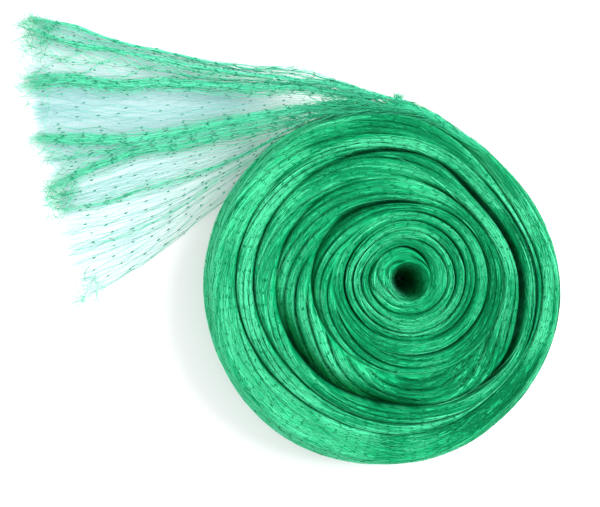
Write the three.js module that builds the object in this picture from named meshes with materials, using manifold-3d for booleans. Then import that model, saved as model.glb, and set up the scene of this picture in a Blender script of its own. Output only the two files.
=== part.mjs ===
// Roll of pond netting: a gathered net band wound into a loose flat roll, with its outer end
// pulled off and spread on the floor. Millimetres, +Z up, the floor at z = 0.

import * as THREE from "three";
import { ParametricGeometry } from "three/addons/geometries/ParametricGeometry.js";
import { mergeGeometries, mergeVertices } from "three/addons/utils/BufferGeometryUtils.js";
import Module from "manifold-3d";

// Sizes of the roll
const ROLL_HEIGHT = 78;
const STEPS_PER_TURN = 32;
const BAND_TURNS = 10 + 7 / STEPS_PER_TURN;
const ROWS_ACROSS_BAND = 4;
const ROWS_DOWN_WALL = 10;
const RIM_DROP = 3;
const RIM_ENDS = 0.6;
const RIM_TURNS = 0.6;
const CORE_GROOVE = 7;
const OUTER_GROOVE = 11;
const CORE_TURNS = 4;
const OUTER_TURNS = 8;
const ARCH_POWER = 3;
const BAND_END_TURNS = 0.2;
const UNDERSIDE_GROOVE = 1.5;
const UNDERSIDE_FLAT = 0.5;
const HOLE_TAPER = 7;
const TAPER_TURNS = 2;
const SHOULDER_INSET = 7;
const SHOULDER_ENDS = 0.5;
const FOOT_INSET = 4;
const FOOT_STARTS = 0.6;
const WALL_FOLDS = 3;
const WALL_FOLD_DEPTH = 1.8;
const WALL_FOLD_SHARPNESS = 4;
const WALL_TURNS = 2;
const WELD_DISTANCE = 1e-3;

// Waves that the crest of the band rises and falls by, along its length
const CREST_WAVES = [
  { depth: 1.6, pace: 5.1, start: 0 },
  { depth: 1.12, pace: 12.7, start: 1 },
];

// Waves that the creases of the outer wall wander by, going round it
const WALL_WAVES = [
  { share: 0.3, count: 2, start: 0 },
  { share: 0.2, count: 3, start: 1 },
];

// Sizes of the loose end
const SHEET_THICKNESS = 2;
const ROOT_CLEARANCE = 1.6;
const STATIONS_ALONG_SHEET = 14;
const ROWS_PER_FOLD = 4;
const MESHES_ALONG = 9;
const MESH_OPENING = 0.78;
const SMALLEST_GAP = 4;
const WEB_SAG = 0.8;
const SAG_STARTS = 0.1;
const SAG_FULL = 0.6;
const CUTTER_BOTTOM = -10;
const CUTTER_DEPTH = 120;

const NET_GREEN = 0x2fb27a;
const LOOSE_NET_GREEN = 0x8fdcc0;
const NET_ROUGHNESS = 0.45;

// Radius of the groove inside each turn, by compass direction round the hole, one row a turn.
// The net winds outwards from east through north, west and south.
const TURNS = [
  { east: 12, ne: 11.5, north: 11, nw: 10.5, west: 10, sw: 10.5, south: 12, se: 13 },
  { east: 16, ne: 19, north: 24, nw: 25, west: 26, sw: 24, south: 22.5, se: 24.5 },
  { east: 27, ne: 28, north: 28.5, nw: 29, west: 31, sw: 28.5, south: 28.5, se: 30 },
  { east: 32, ne: 33, north: 34.5, nw: 34, west: 36.5, sw: 35, south: 34.5, se: 36 },
  { east: 38.5, ne: 40.5, north: 41, nw: 40.5, west: 42, sw: 40.5, south: 40, se: 42.5 },
  { east: 45, ne: 46.5, north: 47, nw: 46.5, west: 50.5, sw: 49, south: 50, se: 52.5 },
  { east: 54, ne: 54, north: 53, nw: 61, west: 64, sw: 62.5, south: 63, se: 64.5 },
  { east: 64.5, ne: 62, north: 69, nw: 80, west: 88, sw: 88, south: 85, se: 86.5 },
  { east: 79, ne: 74.5, north: 87.5, nw: 96.5, west: 103, sw: 98, south: 97, se: 94.5 },
  { east: 89, ne: 87, north: 100, nw: 112, west: 119.5, sw: 113.5, south: 108, se: 100.5 },
  { east: 96, ne: 95, north: 117.5, nw: 131, west: 138.5, sw: 137.5, south: 126.5, se: 114.5 },
  { east: 107.5, ne: 105, north: 117, nw: 131, west: 138.5, sw: 137.5, south: 126.5, se: 114.5 },
];

// Places where two turns stand well apart: where the gap starts and ends, counted in turns along
// its groove, and how much deeper it is than the other grooves.
const DEEP_GAPS = [
  { start: 7.5, end: 7.8, extra: 30 },
  { start: 7.83, end: 8.18, extra: 32 },
  { start: 6.25, end: 6.4, extra: 26 },
  { start: 8.26, end: 8.34, extra: 22 },
  { start: 1.12, end: 1.28, extra: 10 },
  { start: 4.4, end: 4.62, extra: 8 },
  { start: 9.42, end: 9.62, extra: 8 },
];
const GAP_FADE = 0.06;

// Turns that lean towards a deep gap: a lean over 1 moves the crest outwards, under 1 inwards.
const LEANING_TURNS = [
  { start: 6.5, end: 6.8, lean: 0.5 },
  { start: 6.9, end: 7.2, lean: 1.6 },
  { start: 7.5, end: 7.8, lean: 0.55 },
  { start: 7.92, end: 8.2, lean: 0.6 },
];

// Folds of the loose end from its upper edge to its lower edge: the angle and height at which each
// leaves the roll, then points [x, y, z] from there to the cut end, measured from the middle of the
// hole, and the meshes up to the next fold.
const FOLDS = [
  { angle: 87, height: 60, near: [-75, 148, 33], middle: [-170, 164, 7], far: [-262, 193, 2], meshes: 2 },
  { angle: 92, height: 58, near: [-75, 139, 32], middle: [-170, 155, 10], far: [-267, 179, 6], meshes: 4 },
  { angle: 98, height: 54, near: [-77, 132, 27], middle: [-170, 138, 10], far: [-269, 143, 6], meshes: 5 },
  { angle: 107, height: 46, near: [-90, 116, 20], middle: [-170, 103, 9], far: [-263, 102, 6], meshes: 4 },
  { angle: 116, height: 38, near: [-104, 103, 14], middle: [-168, 92, 6], far: [-250, 68, 5], meshes: 3 },
  { angle: 128, height: 28, near: [-122, 84, 8], middle: [-170, 67, 4], far: [-243, 50, 3], meshes: 4 },
  { angle: 139, height: 20, near: [-134, 68, 5], middle: [-172, 45, 2], far: [-236, 20, 1], meshes: 4 },
  { angle: 152, height: 10, near: [-142, 44, 2], middle: [-176, 16, 1], far: [-226, -14, 1], meshes: 0 },
];

const wasm = await Module();
wasm.setup();

// Roll

const directions = ["east", "ne", "north", "nw", "west", "sw", "south", "se"];
const grooveRadii = TURNS.flatMap((turn) => directions.map((direction) => turn[direction]));
const grooveCurve = new THREE.SplineCurve(
  grooveRadii.map((radius, index) => new THREE.Vector2(index / directions.length, radius)),
);
const lastTableTurn = (grooveRadii.length - 1) / directions.length;

function grooveRadius(turn) {
  return grooveCurve.getPoint(turn / lastTableTurn).y;
}

// 1 between start and end, fading to 0 on both sides
function within(turn, { start, end }) {
  const rise = THREE.MathUtils.smoothstep(turn, start - GAP_FADE, start + GAP_FADE);
  const fall = THREE.MathUtils.smoothstep(turn, end - GAP_FADE, end + GAP_FADE);
  return rise - fall;
}

function crestHeight(turn) {
  const drop = CREST_WAVES.map((wave) => wave.depth * (1 - Math.sin(turn * wave.pace + wave.start)));
  return drop.reduce((height, depth) => height - depth, ROLL_HEIGHT);
}

function grooveHeight(turn) {
  const outward = THREE.MathUtils.smoothstep(turn, CORE_TURNS, OUTER_TURNS);
  const ordinary = THREE.MathUtils.lerp(CORE_GROOVE, OUTER_GROOVE, outward);
  const rim = 1 - THREE.MathUtils.smoothstep(turn, RIM_ENDS, RIM_ENDS + RIM_TURNS);
  const extra = DEEP_GAPS.reduce((sum, gap) => sum + gap.extra * within(turn, gap), 0);
  return ROLL_HEIGHT - THREE.MathUtils.lerp(ordinary, RIM_DROP, rim) - extra;
}

// Height of the top surface at a place across the band, 0 at its inner groove and 1 at its outer one.
// The arch between them runs out at the end of the band.
function topHeight(turn, across) {
  const lean = LEANING_TURNS.reduce((value, row) => value + (row.lean - 1) * within(turn, row), 1);
  const whole = 1 - THREE.MathUtils.smoothstep(turn, BAND_TURNS - BAND_END_TURNS, BAND_TURNS);
  const arch = whole * (1 - Math.abs(2 * across ** lean - 1) ** ARCH_POWER);
  const base = THREE.MathUtils.lerp(grooveHeight(turn), grooveHeight(turn + 1), across);
  return THREE.MathUtils.lerp(base, crestHeight(turn), arch);
}

// How far the outer wall draws in at a height: rounded at both ends, with creases that run round it
function wallInset(angle, down) {
  const shoulder = SHOULDER_INSET * THREE.MathUtils.smoothstep(1 - down, 1 - SHOULDER_ENDS, 1);
  const foot = FOOT_INSET * THREE.MathUtils.smoothstep(down, FOOT_STARTS, 1);
  const wander = WALL_WAVES.reduce(
    (sum, wave) => sum + wave.share * Math.sin(wave.count * angle + wave.start),
    0,
  );
  const crease = Math.sin(Math.PI * (WALL_FOLDS * down + wander)) ** WALL_FOLD_SHARPNESS;
  return shoulder + foot + WALL_FOLD_DEPTH * crease;
}

// A point of the wound band: along it in turns, across it, and down it from top to underside
function bandPoint(turn, across, down, target) {
  const layer = turn + across;
  const angle = turn * 2 * Math.PI;
  const inside = 1 - THREE.MathUtils.smoothstep(layer, 0, TAPER_TURNS);
  const outside = THREE.MathUtils.smoothstep(layer, BAND_TURNS - WALL_TURNS, BAND_TURNS);
  const radius = THREE.MathUtils.lerp(grooveRadius(turn), grooveRadius(turn + 1), across)
    - HOLE_TAPER * inside * down
    - outside * wallInset(angle, down);
  const nearEdge = Math.max(0, Math.abs(2 * across - 1) - UNDERSIDE_FLAT) / (1 - UNDERSIDE_FLAT);
  const underside = UNDERSIDE_GROOVE * nearEdge;
  const height = THREE.MathUtils.lerp(topHeight(turn, across), underside, down);
  return target.set(radius * Math.cos(angle), radius * Math.sin(angle), height);
}

function bandFace(place, slices, stacks) {
  const face = new ParametricGeometry((u, v, target) => bandPoint(...place(u, v), target), slices, stacks);
  face.deleteAttribute("normal");
  face.deleteAttribute("uv");
  return face;
}

function rollGeometry() {
  const stepsAlong = Math.round(BAND_TURNS * STEPS_PER_TURN);
  const faces = [
    bandFace((u, v) => [u * BAND_TURNS, 1 - v, 0], stepsAlong, ROWS_ACROSS_BAND),
    bandFace((u, v) => [u * BAND_TURNS, v, 1], stepsAlong, ROWS_ACROSS_BAND),
    bandFace((u, v) => [u, 0, v], STEPS_PER_TURN, ROWS_DOWN_WALL),
    bandFace((u, v) => [BAND_TURNS - 1 + u, 1, 1 - v], STEPS_PER_TURN, ROWS_DOWN_WALL),
    bandFace((u, v) => [0, u, 1 - v], ROWS_ACROSS_BAND, ROWS_DOWN_WALL),
    bandFace((u, v) => [BAND_TURNS, u, v], ROWS_ACROSS_BAND, ROWS_DOWN_WALL),
  ];
  return mergeVertices(mergeGeometries(faces), WELD_DISTANCE);
}

// Loose end

// Where a fold leaves the outer wall of the roll
function foldRoot({ angle, height }) {
  const direction = THREE.MathUtils.degToRad(angle);
  const outline = grooveRadius(Math.floor(BAND_TURNS) + angle / 360);
  const radius = outline - wallInset(direction, 1 - height / ROLL_HEIGHT) + ROOT_CLEARANCE;
  return new THREE.Vector3(radius * Math.cos(direction), radius * Math.sin(direction), height);
}

const foldCurves = FOLDS.map((fold) => {
  const free = [fold.near, fold.middle, fold.far].map((point) => new THREE.Vector3(...point));
  return new THREE.CatmullRomCurve3([foldRoot(fold), ...free]);
});
const lastFold = FOLDS.length - 1;

// A point of the sheet: along it from the roll to the cut end, and across it counted in folds
function sheetPoint(along, fold) {
  const across = new THREE.CatmullRomCurve3(foldCurves.map((curve) => curve.getPoint(along)));
  const point = across.getPoint(fold / lastFold);
  const sagging = THREE.MathUtils.smoothstep(along, SAG_STARTS, SAG_FULL);
  point.z = Math.max(0, point.z) * (1 - WEB_SAG * sagging * Math.sin(Math.PI * fold) ** 2);
  return point;
}

// The uncut sheet: a thin flat box whose points are moved onto the folds
function foldedSheet() {
  const sheet = new THREE.BoxGeometry(1, 1, 1, STATIONS_ALONG_SHEET, lastFold * ROWS_PER_FOLD, 1);
  const points = sheet.attributes.position;
  for (let index = 0; index < points.count; index += 1) {
    const along = points.getX(index) + 0.5;
    const fold = (points.getY(index) + 0.5) * lastFold;
    const side = points.getZ(index) + 0.5;
    const point = sheetPoint(along, fold);
    points.setXYZ(index, point.x, point.y, point.z + side * SHEET_THICKNESS);
  }
  return sheet;
}

function asManifold(geometry) {
  geometry.deleteAttribute("normal");
  geometry.deleteAttribute("uv");
  const merged = mergeVertices(geometry, WELD_DISTANCE);
  return new wasm.Manifold(new wasm.Mesh({
    numProp: 3,
    vertProperties: new Float32Array(merged.attributes.position.array),
    triVerts: new Uint32Array(merged.index.array),
  }));
}

function asGeometry(solid) {
  const mesh = solid.getMesh();
  const geometry = new THREE.BufferGeometry();
  geometry.setAttribute("position", new THREE.BufferAttribute(mesh.vertProperties, 3));
  geometry.setIndex(new THREE.BufferAttribute(mesh.triVerts, 1));
  return geometry;
}

// Where the rows of meshes lie across the sheet, counted in folds
function meshColumns() {
  return FOLDS.flatMap((fold, index) => {
    const columns = [];
    for (let mesh = 0; mesh < fold.meshes; mesh += 1) {
      columns.push(index + mesh / fold.meshes);
    }
    return columns;
  }).concat(lastFold);
}

// The upright prism that cuts one diamond gap, or nothing on a fold or where the net is drawn together.
// A gap centred on the cut end opens through it.
function gapCutter(columns, column, row) {
  const middle = columns[column];
  if (Number.isInteger(middle)) {
    return null;
  }
  const along = row / MESHES_ALONG;
  const left = THREE.MathUtils.lerp(middle, columns[column - 1], MESH_OPENING);
  const right = THREE.MathUtils.lerp(middle, columns[column + 1], MESH_OPENING);
  const centre = sheetPoint(along, middle);
  const inner = sheetPoint(along - MESH_OPENING / MESHES_ALONG, middle);
  const outer = centre.clone().multiplyScalar(2).sub(inner);
  const corners = [inner, sheetPoint(along, left), outer, sheetPoint(along, right)];
  const width = Math.hypot(corners[1].x - corners[3].x, corners[1].y - corners[3].y);
  if (width < SMALLEST_GAP) {
    return null;
  }
  const shape = new THREE.Shape(corners.map((corner) => new THREE.Vector2(corner.x, corner.y)));
  const cutter = new THREE.ExtrudeGeometry(shape, { depth: CUTTER_DEPTH, bevelEnabled: false });
  return asManifold(cutter.translate(0, 0, CUTTER_BOTTOM));
}

function looseEndGeometry() {
  let sheet = asManifold(foldedSheet());
  const columns = meshColumns();
  for (let column = 1; column < columns.length - 1; column += 1) {
    for (let row = 1 + (column % 2); row <= MESHES_ALONG; row += 2) {
      const cutter = gapCutter(columns, column, row);
      if (cutter) {
        sheet = sheet.subtract(cutter);
      }
    }
  }
  return asGeometry(sheet);
}

function piece(name, geometry, color) {
  const material = new THREE.MeshStandardMaterial({ color, roughness: NET_ROUGHNESS, metalness: 0 });
  const mesh = new THREE.Mesh(geometry, material);
  mesh.name = name;
  return mesh;
}

const group = new THREE.Group();
group.add(piece("netting_roll", rollGeometry(), NET_GREEN));
group.add(piece("loose_end", looseEndGeometry(), LOOSE_NET_GREEN));

// The origin is the middle of the whole part, on the floor
const middle = new THREE.Box3().setFromObject(group).getCenter(new THREE.Vector3());
group.position.set(-middle.x, -middle.y, 0);

export default group;
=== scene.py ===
from collections import namedtuple

import bmesh
import bpy
import numpy as np
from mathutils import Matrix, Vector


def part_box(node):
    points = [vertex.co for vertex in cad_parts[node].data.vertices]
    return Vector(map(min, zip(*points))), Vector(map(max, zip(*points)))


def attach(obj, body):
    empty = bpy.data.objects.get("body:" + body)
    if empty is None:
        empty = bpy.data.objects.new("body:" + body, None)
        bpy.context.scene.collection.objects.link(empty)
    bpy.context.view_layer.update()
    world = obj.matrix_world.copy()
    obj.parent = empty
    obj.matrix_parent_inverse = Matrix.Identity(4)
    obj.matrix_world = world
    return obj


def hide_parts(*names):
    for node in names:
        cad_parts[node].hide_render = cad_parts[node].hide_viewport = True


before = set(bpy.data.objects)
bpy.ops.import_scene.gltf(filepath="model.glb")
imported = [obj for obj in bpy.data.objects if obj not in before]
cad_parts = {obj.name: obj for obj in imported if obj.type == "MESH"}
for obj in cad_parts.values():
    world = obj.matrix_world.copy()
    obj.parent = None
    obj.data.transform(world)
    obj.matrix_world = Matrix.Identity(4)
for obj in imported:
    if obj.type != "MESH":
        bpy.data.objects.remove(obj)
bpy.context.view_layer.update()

# Roll of pond netting: the wound band is a closed body under strands and knots. The loose end is an open
# net of strands knotted into diamonds, with one sheer sheet for the net that is too fine to show its
# strands and for painted shade that the net casts on the floor. Sizes are in millimetres, and places are
# from the hole, until a mesh is made.
MM = 0.001
SEED = 11
TINY = 1e-6
ROLL_REACH_EAST = 107.5
ROLL_REACH_NORTH = 118.7
ROLL_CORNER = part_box("netting_roll")[1]
HOLE_AT = (ROLL_CORNER[0] / MM - ROLL_REACH_EAST, ROLL_CORNER[1] / MM - ROLL_REACH_NORTH)

# Picture
PICTURE_WIDTH = 600
MM_PER_PIXEL = 0.72
CAMERA_HEIGHT = 1000
CAMERA_FROM_HOLE = (-71.7, 18.6)
SENSOR_WIDTH = 36.0
Lamp = namedtuple("Lamp", "name size energy place")
LAMPS = (
    Lamp("softbox", 0.9, 30.5, (0.92, 0.3, 1.3)),
    Lamp("fill", 1.0, 6.0, (-0.8, -0.6, 0.9)),
)
STUDIO_LIGHT = 0.86
FLOOR_SIZE = 4.0
FLOOR_COLOUR = (0.945, 0.925, 0.95, 1.0)
FLOOR_ROUGHNESS = 0.9

# Wound band, with flatter turns and sharper grooves than the part and a hole that closes at its foot
ROLL_HEIGHT = 78
BAND_TURNS = 10 + 7 / 32
RIM_DROP = 3
RIM_TURNS = (0.6, 1.2)
GROOVE_DEPTH = 9
GROOVE_SHARES = (0.35, 1.45)
GROOVE_PACE = 5
CORE_ARCH_POWER = 5
OUTER_ARCH_POWER = 7
ARCH_TURNS = (4, 8)
BAND_END_TURNS = 0.2
BAND_THINS_TURNS = 0.06
BAND_THINS = 0.97
UNDERSIDE_GROOVE = 1.5
UNDERSIDE_FLAT = 0.5
HOLE_CLOSES = 0.96
HOLE_FUNNEL = 1.2
TAPER_TURNS = (0.9, 2.2)
SHOULDER_INSET = 7
SHOULDER_ENDS = 0.5
FOOT_INSET = 4
FOOT_STARTS = 0.6
WALL_FOLDS = 3
WALL_FOLD_DEPTH = 1.8
WALL_FOLD_SHARPNESS = 4
WALL_TURNS = 2
WALL_SEAM_TURNS = 0.01
GAP_FADE = 0.06
LENGTH_STEPS = 2000

# Waves, and smooth random changes with their size and their paces in two directions
Wave = namedtuple("Wave", "size pace start")
Uneven = namedtuple("Uneven", "size first second")
CREST_WAVES = (Wave(1.6, 5.1, 0), Wave(1.12, 12.7, 1))
WALL_WAVES = (Wave(0.3, 2, 0), Wave(0.2, 3, 1))

# Radius of the groove inside each turn, going round from east through north, west and south
DIRECTIONS = 8
TURNS = (
    (14, 13.5, 13, 12.5, 12.3, 12.7, 13.6, 14.3),
    (14.8, 18, 23.5, 25, 26, 24, 22.5, 24.5),
    (27, 28, 28.5, 29, 31, 28.5, 28.5, 30),
    (32, 33, 34.5, 34, 36.5, 35, 34.5, 36),
    (38.5, 40.5, 41, 40.5, 42, 40.5, 40, 42.5),
    (45, 46.5, 47, 46.5, 50.5, 49, 50, 52.5),
    (54, 54, 53, 61, 64, 62.5, 63, 64.5),
    (64.5, 62, 69, 80, 88, 88, 85, 86.5),
    (79, 74.5, 87.5, 96.5, 103, 98, 97, 94.5),
    (89, 87, 100, 112, 119.5, 113.5, 108, 100.5),
    (96, 95, 117.5, 131, 138.5, 137.5, 126.5, 114.5),
    (107.5, 105, 117, 131, 138.5, 137.5, 126.5, 114.5),
)
GROOVES = np.array(TURNS).ravel()

# Grooves that are deeper than the others, or shallower where the extra depth is negative: the turns they
# start and end at, and the extra depth
DEEP_GAPS = (
    (7.55, 7.76, 38), (7.83, 8.18, 32), (6.25, 6.4, 26), (6.42, 6.58, 6), (5.22, 5.56, -6),
    (8.26, 8.34, 22), (1.12, 1.28, 10), (4.4, 4.62, 8), (9.42, 9.62, 3), (7.36, 7.46, 7),
    (5.74, 5.92, 7), (4.82, 4.95, 5), (7.12, 7.2, 16), (10.06, 10.2, 8),
)

# Turns whose top leans: a lean below 1 moves the crest inwards, and a lower power makes a rounder top
LeaningTurn = namedtuple("LeaningTurn", "start end lean power")
LEANING_TURNS = (
    LeaningTurn(5.28, 5.6, 0.6, 2.5),
    LeaningTurn(6.5, 6.76, 0.5, 2.2),
    LeaningTurn(6.9, 7.2, 0.6, 3),
    LeaningTurn(7.5, 7.8, 0.55, 6),
    LeaningTurn(7.92, 8.2, 0.6, 5),
)

# Pleats of the gathered net on the band
STEPS_PER_TURN = 160
ROWS_ON_TOP = 32
ROWS_UNDER = 4
ROWS_DOWN_WALL = 48
PLEATS_IN_CORE = 2.0
PLEATS_OUTSIDE = 3.4
PLEAT_TURNS = (4.5, 7)
CORE_PLEAT_DEPTH = 2.0
PLEAT_DEPTH = 3.0
PLEAT_WANDER = Uneven(1.6, 5, 1)
PLEAT_NOISE_ROW = 3.5
SMALL_PLEATS = 2.7
SMALL_PLEAT_DEPTH = 1.1
SLANTED_PLEATS_DEEPER = 1.4
SMALL_PLEAT_WANDER = Uneven(1.5, 9, 3)
PLEAT_EDGE = 0.1
LAST_PLEATS = 0.5
LAST_PLEAT_TURNS = (9.1, 9.6)
CREASE_REACH = 0.3
CREASE_FADE = (0.25, 0.75)
CREASE_NOISE_ROWS = 1.7
CREASE_PACE = 7
SMALL_CREASE_PACE = 11
WALL_CREASE_PACE = 6

# Stretches where the net lies smoother: start, end, and the share of the pleats' depth that is taken away
SMOOTH_TURNS = (
    (7.4, 7.72, 0.55), (8.03, 8.27, 0.6), (8.42, 8.86, 0.6), (9.0, 9.2, 0.6),
)

# Pleats of the outer wall, and the width of a turn on the map that the strands' pattern follows
WALL_PLEATS = 13
WALL_PLEAT_DEPTH = 1.6
WALL_PLEAT_EDGE = 0.06
WALL_PLEAT_END = 0.03
WALL_DRIFT = 3
WALL_DRIFT_WAVES = (Wave(0.6, 1, 1), Wave(0.4, 2, 0), Wave(0.3, 5, 0))
STRAND_MAP_WIDTH = 12

# Where the strands run slantwise outwards across a turn: the shift in band widths, and the share of the
# creases' depth that never fades there
Slant = namedtuple("Slant", "start end shift creased")
SLANTS = (
    Slant(0.1, 1.0, -0.6, 0.0),
    Slant(3.3, 3.8, 0.5, 0.2),
    Slant(5.2, 5.75, 1.2, 0.6),
    Slant(6.28, 6.6, 0.85, 0.7),
    Slant(6.56, 6.78, 1.23, 0.8),
    Slant(6.78, 6.96, -1.0, 0.7),
    Slant(7.15, 7.75, 2.2, 0.15),
    Slant(8.15, 8.7, 2.2, 0.1),
    Slant(9.15, 9.65, 1.8, 0.0),
)

# Strands on the top of the band: the turns they lie on, how many there are, the points on each, their
# lengths, how far they stray sideways for their length, how high they lie on the body, and their section
Strands = namedtuple("Strands", "name first last count points shortest longest stray low high radius sides")
TOP_STRANDS = (
    Strands("wound_net_core_strands", 0.0, 6.2, 2900, 6, 8, 32, 0.12, 0.0, 0.5, 0.16, 3),
    Strands("wound_net_middle_strands", 6.2, 8.4, 4200, 6, 9, 36, 0.14, 0.0, 0.5, 0.16, 3),
    Strands("wound_net_outer_strands", 8.4, 10.2, 5000, 6, 9, 36, 0.14, 0.0, 0.5, 0.16, 3),
    Strands("wound_net_wisps", 0.3, 10.1, 200, 14, 30, 90, 0.06, -0.3, 0.1, 0.45, 5),
    Strands("wound_net_hairs", 0.5, 10.1, 150, 14, 30, 70, 0.2, 0.5, 2.0, 0.12, 3),
)
WALL_STRANDS = Strands("wound_net_wall_strands", 0.0, 1.0, 2900, 7, 12, 50, 0.12, 0.0, 0.6, 0.2, 3)
WALL_CROWDING = 1.4
WALL_STRANDS_DOWN = (0.02, 0.97)
WALL_STRAND_LIMITS = (0.02, 0.99)
HOLE_STRANDS = Strands("wound_net_hole_strands", 0.0, 1.0, 220, 7, 8, 22, 0.0, 0.1, 0.6, 0.16, 3)
HOLE_STRANDS_SINK = (0.0, 0.5)
HOLE_STRANDS_START = 0.4
HOLE_STRAND_LIMITS = (0.01, 0.9)
TOP_STRANDS_ACROSS = (0.03, 0.97)
TOP_STRAND_EDGE = 0.02
AREA_STEPS = 4000
LONGEST_ARC = 2.0
DIVE_POWER = 6

# Knots of the wound net, on the top and on the outer wall
KNOT_SEGMENTS = 4
KNOT_RINGS = 2
WOUND_KNOTS = 6500
WOUND_KNOT_TURNS = (0.3, 10.1)
WOUND_KNOTS_ACROSS = (0.05, 0.95)
WALL_KNOTS = 2500
WALL_KNOTS_DOWN = (0.03, 0.93)
WOUND_KNOT_LIFT = 0.3
WOUND_KNOT_LENGTHS = (0.63, 1.08)
WOUND_KNOT_RADII = (0.252, 0.396)
KNOT_ROWS_APART = 7.5
KNOT_ROW_WANDER = Uneven(4, 0.25, 0.005)
KNOT_ROW_SPREAD = 0.7

# Tones of the wound net, from deep 0 to pale 1: streaks and patches, and where it is paler
NET_TONE = 0.46
STREAKS_OF_TONE = Uneven(0.5, 0.5, 0.012)
PATCHES_OF_TONE = Uneven(1.1, 0.05, 0.12)
PATCHES_START = 140
TONE_SPREAD = 0.16
SIDE_TONE_SPREAD = 0.15
OUTER_PALER = 0.12
OUTER_PALER_TURNS = (6, 9)
# Painted light and shade: the wound net is paler towards the west and deeper towards the east
WEST_PAINTED_LIGHT = 0.08
# Painted light and shade on the outer wall: strands deeper on the east side, and paler on the west side
# away from the lamp
WALL_PAINTED_LIGHT_AND_SHADE = (-0.35, 0.8)

# Stretches where the strands are paler still: start, end, and how much, or deeper where it is negative
PALE_TURNS = (
    (2.05, 2.18, 0.25), (2.75, 2.85, -0.2), (3.8, 3.95, -0.2), (4.25, 4.45, -0.35),
    (4.8, 4.95, -0.2), (5.48, 5.6, -0.2), (6.28, 6.4, -0.3), (6.44, 6.6, 0.35),
    (6.74, 6.86, -0.3), (6.93, 7.08, 0.5), (7.14, 7.3, -0.45), (7.36, 7.5, 0.25),
    (8.1, 8.3, 0.35), (8.34, 8.66, 0.4), (8.78, 8.92, 0.4), (9.0, 9.15, 0.3), (9.2, 9.3, -0.2),
    (9.36, 9.5, 0.3), (9.56, 9.67, 0.35), (9.72, 9.84, -0.4), (9.9, 10.1, 0.4),
    (10.1, 10.3, 0.22),
)

# Loose end, as in the part's source: the angle and height at which each fold leaves the roll, points
# from there to the cut end, then the strands gathered on the fold, how far they reach to either side and
# how far from the cut end they begin to be drawn in, and the strands of the open net and the finer ones
# below it up to the next fold
Fold = namedtuple("Fold", "angle height near middle far gathered before after drawn open fine")
FOLDS = (
    Fold(87, 60, (-75, 144, 33), (-170, 163, 7), (-262, 190, 2), 26, 0.0, 0.9, 210, 4, 10),
    Fold(92, 58, (-75, 138, 32), (-170, 155, 10), (-267, 179, 6), 54, 0.5, 0.55, 210, 4, 4),
    Fold(98, 54, (-77, 132, 27), (-170, 138, 10), (-269, 143, 6), 98, 0.7, 0.35, 210, 10, 14),
    Fold(107, 46, (-90, 116, 20), (-170, 103, 9), (-263, 102, 6), 80, 0.25, 0.7, 110, 8, 16),
    Fold(116, 38, (-104, 105, 14), (-168, 94, 6), (-250, 68, 5), 54, 0.7, 0.4, 110, 8, 20),
    Fold(128, 28, (-122, 84, 8), (-170, 67, 4), (-248, 49, 3), 12, 0.25, 0.25, 210, 8, 10),
    Fold(139, 20, (-134, 68, 5), (-172, 45, 2), (-242, 18, 1), 4, 0.1, 0.1, 210, 7, 10),
    Fold(152, 10, (-142, 44, 2), (-176, 16, 1), (-228, -15, 1), 2, 0.08, 0.0, 210, 0, 0),
)
LAST_FOLD = len(FOLDS) - 1
FOLD_POINTS = 60

# How the loose end leaves the roll, where the upper folds stand out and rise over its top edge, and how
# the webs between the folds sag
ROOT_CLEARANCE = 1.6
ROOT_STANDS_OUT = (7, 6, 4, 2, 1, 0, 0, 0)
ROOT_RISE = (10, 11, 13, 15, 14, 10, 6, 2)
ROOT_POWER = 3
SINK_BEHIND = 0.1
LIFT_BEHIND = 0.3
ROLL_OUTSIDE = 115
BAND_END_ANGLE = (BAND_TURNS % 1) * 360
WEB_SAGS = (0.5, 0.4, 0.8, 0.1, 0.4, 0.8, 0.8)
SAG_STARTS = 0.1
SAG_FULL = 0.6

# Strands of the open net: rows of knots, and how uneven they are
ROWS_OF_KNOTS = 24
BAR_LENGTH = 15
FIRST_ROW = 4
ROW_WANDER = Uneven(1.5, 6, 1)
ROW_SPREAD = 1.5
POINTS_PER_BAR = 2
THIN_SIDES = 3
GATHERED_RADIUS = 0.16
OPEN_RADIUS = 0.14
STRAND_TIP = 0.5
TIP_BARS = 2
FRAY = 7
FRAY_SPREAD = 0.04
LOOSE_LIFT = 0.25
FOLD_THICKNESS = 3.0

# How the gathered strands close up: drawn in to their fold at the cut end, spread again at the root
DRAWN_IN = 0.36
FULLY_DRAWN = 0.35
ROOT_SPREAD = 3.2
ROOT_SPREAD_REACH = (0, 32)
RIB_ZIGZAG = 0.02
OPEN_MEETING = 0.45

# Sideways sway of the whole net and fuzz of single gathered strands
SWAY = Uneven(5, 0.03, 1.5)
FUZZ = Uneven(2.4, 0.1, 0.7)
SWAY_FROM_ROLL = 50

# Tones of the loose strands
LOOSE_TONE = 0.49
LOOSE_TONE_SPREAD = 0.15
LOOSE_TONE_CHANGES = Uneven(0.6, 0.08, 0.9)
OPEN_PALER = 0.4
ROOT_DARKER = 0.25
BEHIND_ROOT_DARKER = 0.45

# Knots of the loose net
LOOSE_KNOT_SIZES = (0.8, 1.2)
LOOSE_KNOT_LENGTH = 1.5
RIB_KNOT_RADIUS = 0.3
RIB_KNOT_SHARE = 0.6
OPEN_KNOT_RADIUS = 0.5
KNOTS_BEHIND_ROOT = 45

# Finer layers under the open net, and the sheer sheet: partly fine net and partly painted shade of the net
# on the floor
FINE_ROWS = 11
FINE_RADIUS = 0.1
FINE_ZIGZAG = 0.03
FINE_STARTS = (-2, 7)
FINE_SAG = 0.7
VEIL_THICKNESS = 0.3
VEIL_STEPS = 60
VEIL_ROWS_PER_FOLD = 8

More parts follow.
